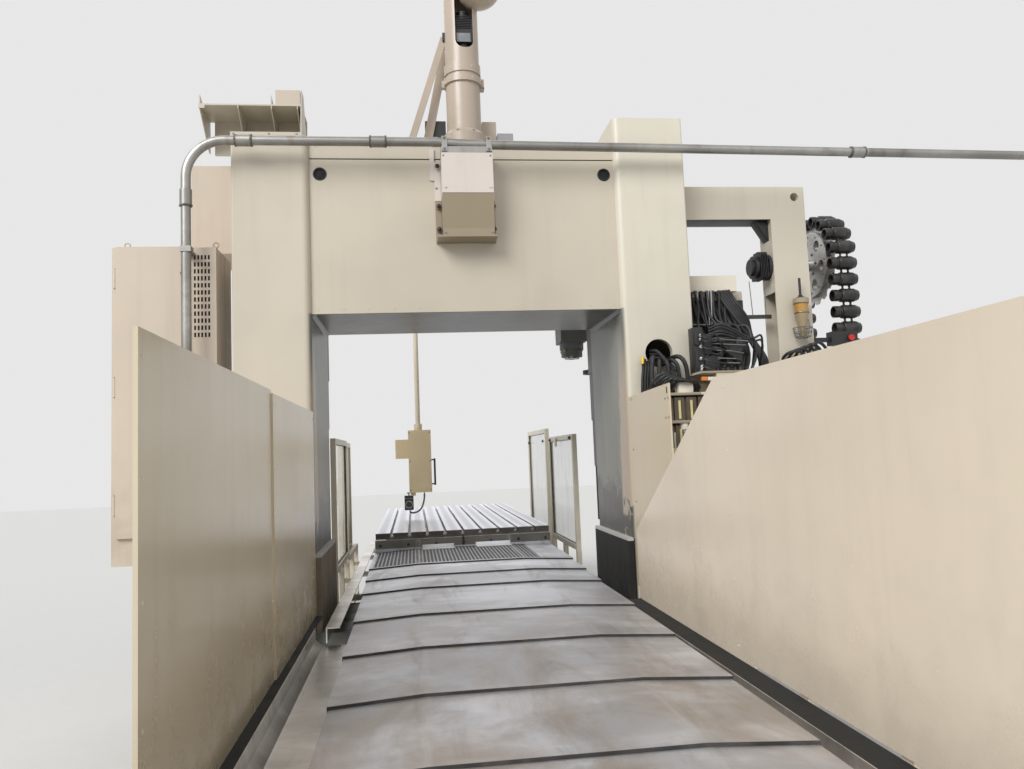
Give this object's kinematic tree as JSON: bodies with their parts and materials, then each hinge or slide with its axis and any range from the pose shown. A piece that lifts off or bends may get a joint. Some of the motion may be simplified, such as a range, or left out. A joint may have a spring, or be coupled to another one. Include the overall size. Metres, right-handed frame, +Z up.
{
  "type": "cnc machining center",
  "caption": "Double-column machining center with a sliding T-slotted table, telescopic way covers, cross rail with ram and spindle, chain tool store, cabinets and side guards.",
  "frame": {"origin": "centre between the columns at floor level, in the plane of the columns' rear faces", "axes": "+Z up, +Y along the table travel from the machine's rear to its front, +X across the machine to the tool store"},
  "size_m": [6.322, 10.72, 4.82],
  "materials": {
    "cream_paint": "satin enamel on castings and sheet, worn at edges",
    "panel_paint": "smooth satin enamel on sheet covers",
    "guard_paint": "satin enamel on folded guards, scuffed",
    "bed_iron": "painted casting, ground guideways",
    "rail_iron": "painted casting with ground ways",
    "table_iron": "milled and ground face, T-slotted",
    "cover_steel": "oiled sheet with fine scratches",
    "trough_steel": "stainless sheet",
    "screw_steel": "ground",
    "dark_steel": "dark enamel, oily",
    "conduit_zinc": "zinc-coated tube",
    "black_plastic": "moulded, satin",
    "black_rubber": "hose and cord jackets",
    "valve_brown": "relay and valve housings",
    "amber_plastic": "oil-filled bowl",
    "red_plastic": "mushroom button",
    "clear_pane": "slightly yellowed window"
  },
  "bodies": {
    "machine_base": {"bed": "bed_iron", "bed_feet": "dark_steel", "left_column": "cream_paint", "right_column": "cream_paint", "bridge_beam": "cream_paint", "bridge_cover": "panel_paint", "cable_box": "panel_paint", "mast": "cream_paint", "motors": "dark_steel", "conduit": "conduit_zinc", "left_guard": "guard_paint", "right_guard": "guard_paint", "valve_cabinet": "guard_paint", "valve_blocks": "valve_brown", "cabinet": "cream_paint", "junction_boxes": "cream_paint", "cable_tray": "cream_paint", "chip_troughs": "trough_steel", "foot_covers": "dark_steel", "atc_frame": "cream_paint", "manifold": "cream_paint", "hoses": "black_rubber", "oil_bowl": "amber_plastic", "magazine": "cream_paint", "tool_pots": "black_plastic", "button_box": "dark_steel", "front_frames": "cream_paint", "front_panes": "clear_pane", "pendant_post": "cream_paint", "rear_cover_7": "cover_steel", "front_cover_2": "cover_steel"},
    "cabinet_door": {"cabinet_door": "cream_paint"},
    "stop_button": {"stop_button": "red_plastic"},
    "arm_shaft": {"arm_shaft": "screw_steel"},
    "change_arm": {"change_arm": "dark_steel"},
    "sliding_door": {"sliding_door": "cream_paint"},
    "table": {"table": "table_iron", "rear_cover_0": "cover_steel", "front_cover_0": "cover_steel"},
    "rear_cover_1": {"rear_cover_1": "cover_steel"},
    "rear_cover_2": {"rear_cover_2": "cover_steel"},
    "rear_cover_3": {"rear_cover_3": "cover_steel"},
    "rear_cover_4": {"rear_cover_4": "cover_steel"},
    "rear_cover_5": {"rear_cover_5": "cover_steel"},
    "rear_cover_6": {"rear_cover_6": "cover_steel"},
    "front_cover_1": {"front_cover_1": "cover_steel"},
    "table_screw": {"table_screw": "screw_steel"},
    "cross_rail": {"cross_rail": "rail_iron"},
    "column_cover_1": {"column_cover_1": "cover_steel"},
    "column_cover_2": {"column_cover_2": "cover_steel"},
    "column_cover_3": {"column_cover_3": "cover_steel"},
    "saddle": {"saddle": "rail_iron"},
    "ram": {"ram": "bed_iron"},
    "spindle": {"spindle": "screw_steel"},
    "pendant_arm": {"pendant_arm": "cream_paint"},
    "pendant_box": {"pendant_box": "cream_paint", "hand_unit": "black_plastic", "hand_cord": "black_rubber"},
    "pendant_stop": {"pendant_stop": "red_plastic"},
    "hand_dial": {"hand_dial": "black_plastic"}
  },
  "joints": [
    {"name": "table_slide", "type": "slide", "parent": "machine_base", "child": "table", "axis": [0, 1, 0], "range_m": [-3, 0.2]},
    {"name": "rear_cover_1_slide", "type": "slide", "parent": "machine_base", "child": "rear_cover_1", "axis": [0, 1, 0], "range_m": [-2.7097, 0.1816]},
    {"name": "rear_cover_2_slide", "type": "slide", "parent": "machine_base", "child": "rear_cover_2", "axis": [0, 1, 0], "range_m": [-2.4382, 0.1635]},
    {"name": "rear_cover_3_slide", "type": "slide", "parent": "machine_base", "child": "rear_cover_3", "axis": [0, 1, 0], "range_m": [-1.8568, 0.1247]},
    {"name": "rear_cover_4_slide", "type": "slide", "parent": "machine_base", "child": "rear_cover_4", "axis": [0, 1, 0], "range_m": [-1.3753, 0.0926]},
    {"name": "rear_cover_5_slide", "type": "slide", "parent": "machine_base", "child": "rear_cover_5", "axis": [0, 1, 0], "range_m": [-0.9139, 0.0619]},
    {"name": "rear_cover_6_slide", "type": "slide", "parent": "machine_base", "child": "rear_cover_6", "axis": [0, 1, 0], "range_m": [-0.4723, 0.0324]},
    {"name": "front_cover_1_slide", "type": "slide", "parent": "machine_base", "child": "front_cover_1", "axis": [0, 1, 0], "range_m": [-1.501, 0.101]},
    {"name": "table_screw_spin", "type": "hinge", "parent": "machine_base", "child": "table_screw", "pos_m": [0, 0, 0.555], "axis": [0, 1, 0], "continuous": true},
    {"name": "cross_rail_slide", "type": "slide", "parent": "machine_base", "child": "cross_rail", "axis": [0, 0, 1], "range_m": [-0.7, 0]},
    {"name": "column_cover_1_slide", "type": "slide", "parent": "machine_base", "child": "column_cover_1", "axis": [0, 0, 1], "range_m": [-0.5428, 0.001]},
    {"name": "column_cover_2_slide", "type": "slide", "parent": "machine_base", "child": "column_cover_2", "axis": [0, 0, 1], "range_m": [-0.3748, 0.001]},
    {"name": "column_cover_3_slide", "type": "slide", "parent": "machine_base", "child": "column_cover_3", "axis": [0, 0, 1], "range_m": [-0.2159, 0.001]},
    {"name": "saddle_slide", "type": "slide", "parent": "cross_rail", "child": "saddle", "axis": [1, 0, 0], "range_m": [-1.85, 0]},
    {"name": "ram_slide", "type": "slide", "parent": "saddle", "child": "ram", "axis": [0, 0, 1], "range_m": [-0.65, 0]},
    {"name": "spindle_spin", "type": "hinge", "parent": "ram", "child": "spindle", "pos_m": [1.003, 1.65, 2.31], "axis": [0, 0, 1], "continuous": true},
    {"name": "arm_shaft_slide", "type": "slide", "parent": "machine_base", "child": "arm_shaft", "axis": [0, 0, 1], "range_m": [-0.15, 0]},
    {"name": "change_arm_swing", "type": "hinge", "parent": "arm_shaft", "child": "change_arm", "pos_m": [1.34, 1.986, 2.25], "axis": [0, 0, -1], "range_deg": [0, 45]},
    {"name": "cabinet_door_hinge", "type": "hinge", "parent": "machine_base", "child": "cabinet_door", "pos_m": [-2.221, -0.013, 1.9], "axis": [0, 0, 1], "range_deg": [-110, 0]},
    {"name": "sliding_door_slide", "type": "slide", "parent": "machine_base", "child": "sliding_door", "axis": [0, 1, 0], "range_m": [-1, 0]},
    {"name": "stop_button_press", "type": "slide", "parent": "machine_base", "child": "stop_button", "axis": [0, 1, 0], "range_m": [0, 0.004], "stiffness_N_per_m": 600},
    {"name": "pendant_arm_swing", "type": "hinge", "parent": "machine_base", "child": "pendant_arm", "pos_m": [-1.7, 2.4, 3.2], "axis": [0, 0, 1], "range_deg": [-30, 20]},
    {"name": "pendant_box_turn", "type": "hinge", "parent": "pendant_arm", "child": "pendant_box", "pos_m": [-0.345, 3, 1.8], "axis": [0, 0, 1], "range_deg": [-90, 90]},
    {"name": "pendant_stop_press", "type": "slide", "parent": "pendant_box", "child": "pendant_stop", "axis": [0, -1, 0], "range_m": [0, 0.004], "stiffness_N_per_m": 600},
    {"name": "hand_dial_turn", "type": "hinge", "parent": "pendant_box", "child": "hand_dial", "pos_m": [-0.455, 2.98, 1.04], "axis": [0, 1, 0], "continuous": true}
  ],
  "couplings": [
    {"joint": "rear_cover_1_slide", "follows": "table_slide", "ratio": 0.9029},
    {"joint": "rear_cover_2_slide", "follows": "table_slide", "ratio": 0.8124},
    {"joint": "rear_cover_3_slide", "follows": "table_slide", "ratio": 0.6186},
    {"joint": "rear_cover_4_slide", "follows": "table_slide", "ratio": 0.4581},
    {"joint": "rear_cover_5_slide", "follows": "table_slide", "ratio": 0.3043},
    {"joint": "rear_cover_6_slide", "follows": "table_slide", "ratio": 0.1571},
    {"joint": "front_cover_1_slide", "follows": "table_slide", "ratio": 0.5},
    {"joint": "table_screw_spin", "follows": "table_slide", "rad_per_m": 157.08},
    {"joint": "column_cover_1_slide", "follows": "cross_rail_slide", "ratio": 0.774},
    {"joint": "column_cover_2_slide", "follows": "cross_rail_slide", "ratio": 0.534},
    {"joint": "column_cover_3_slide", "follows": "cross_rail_slide", "ratio": 0.307}
  ]
}
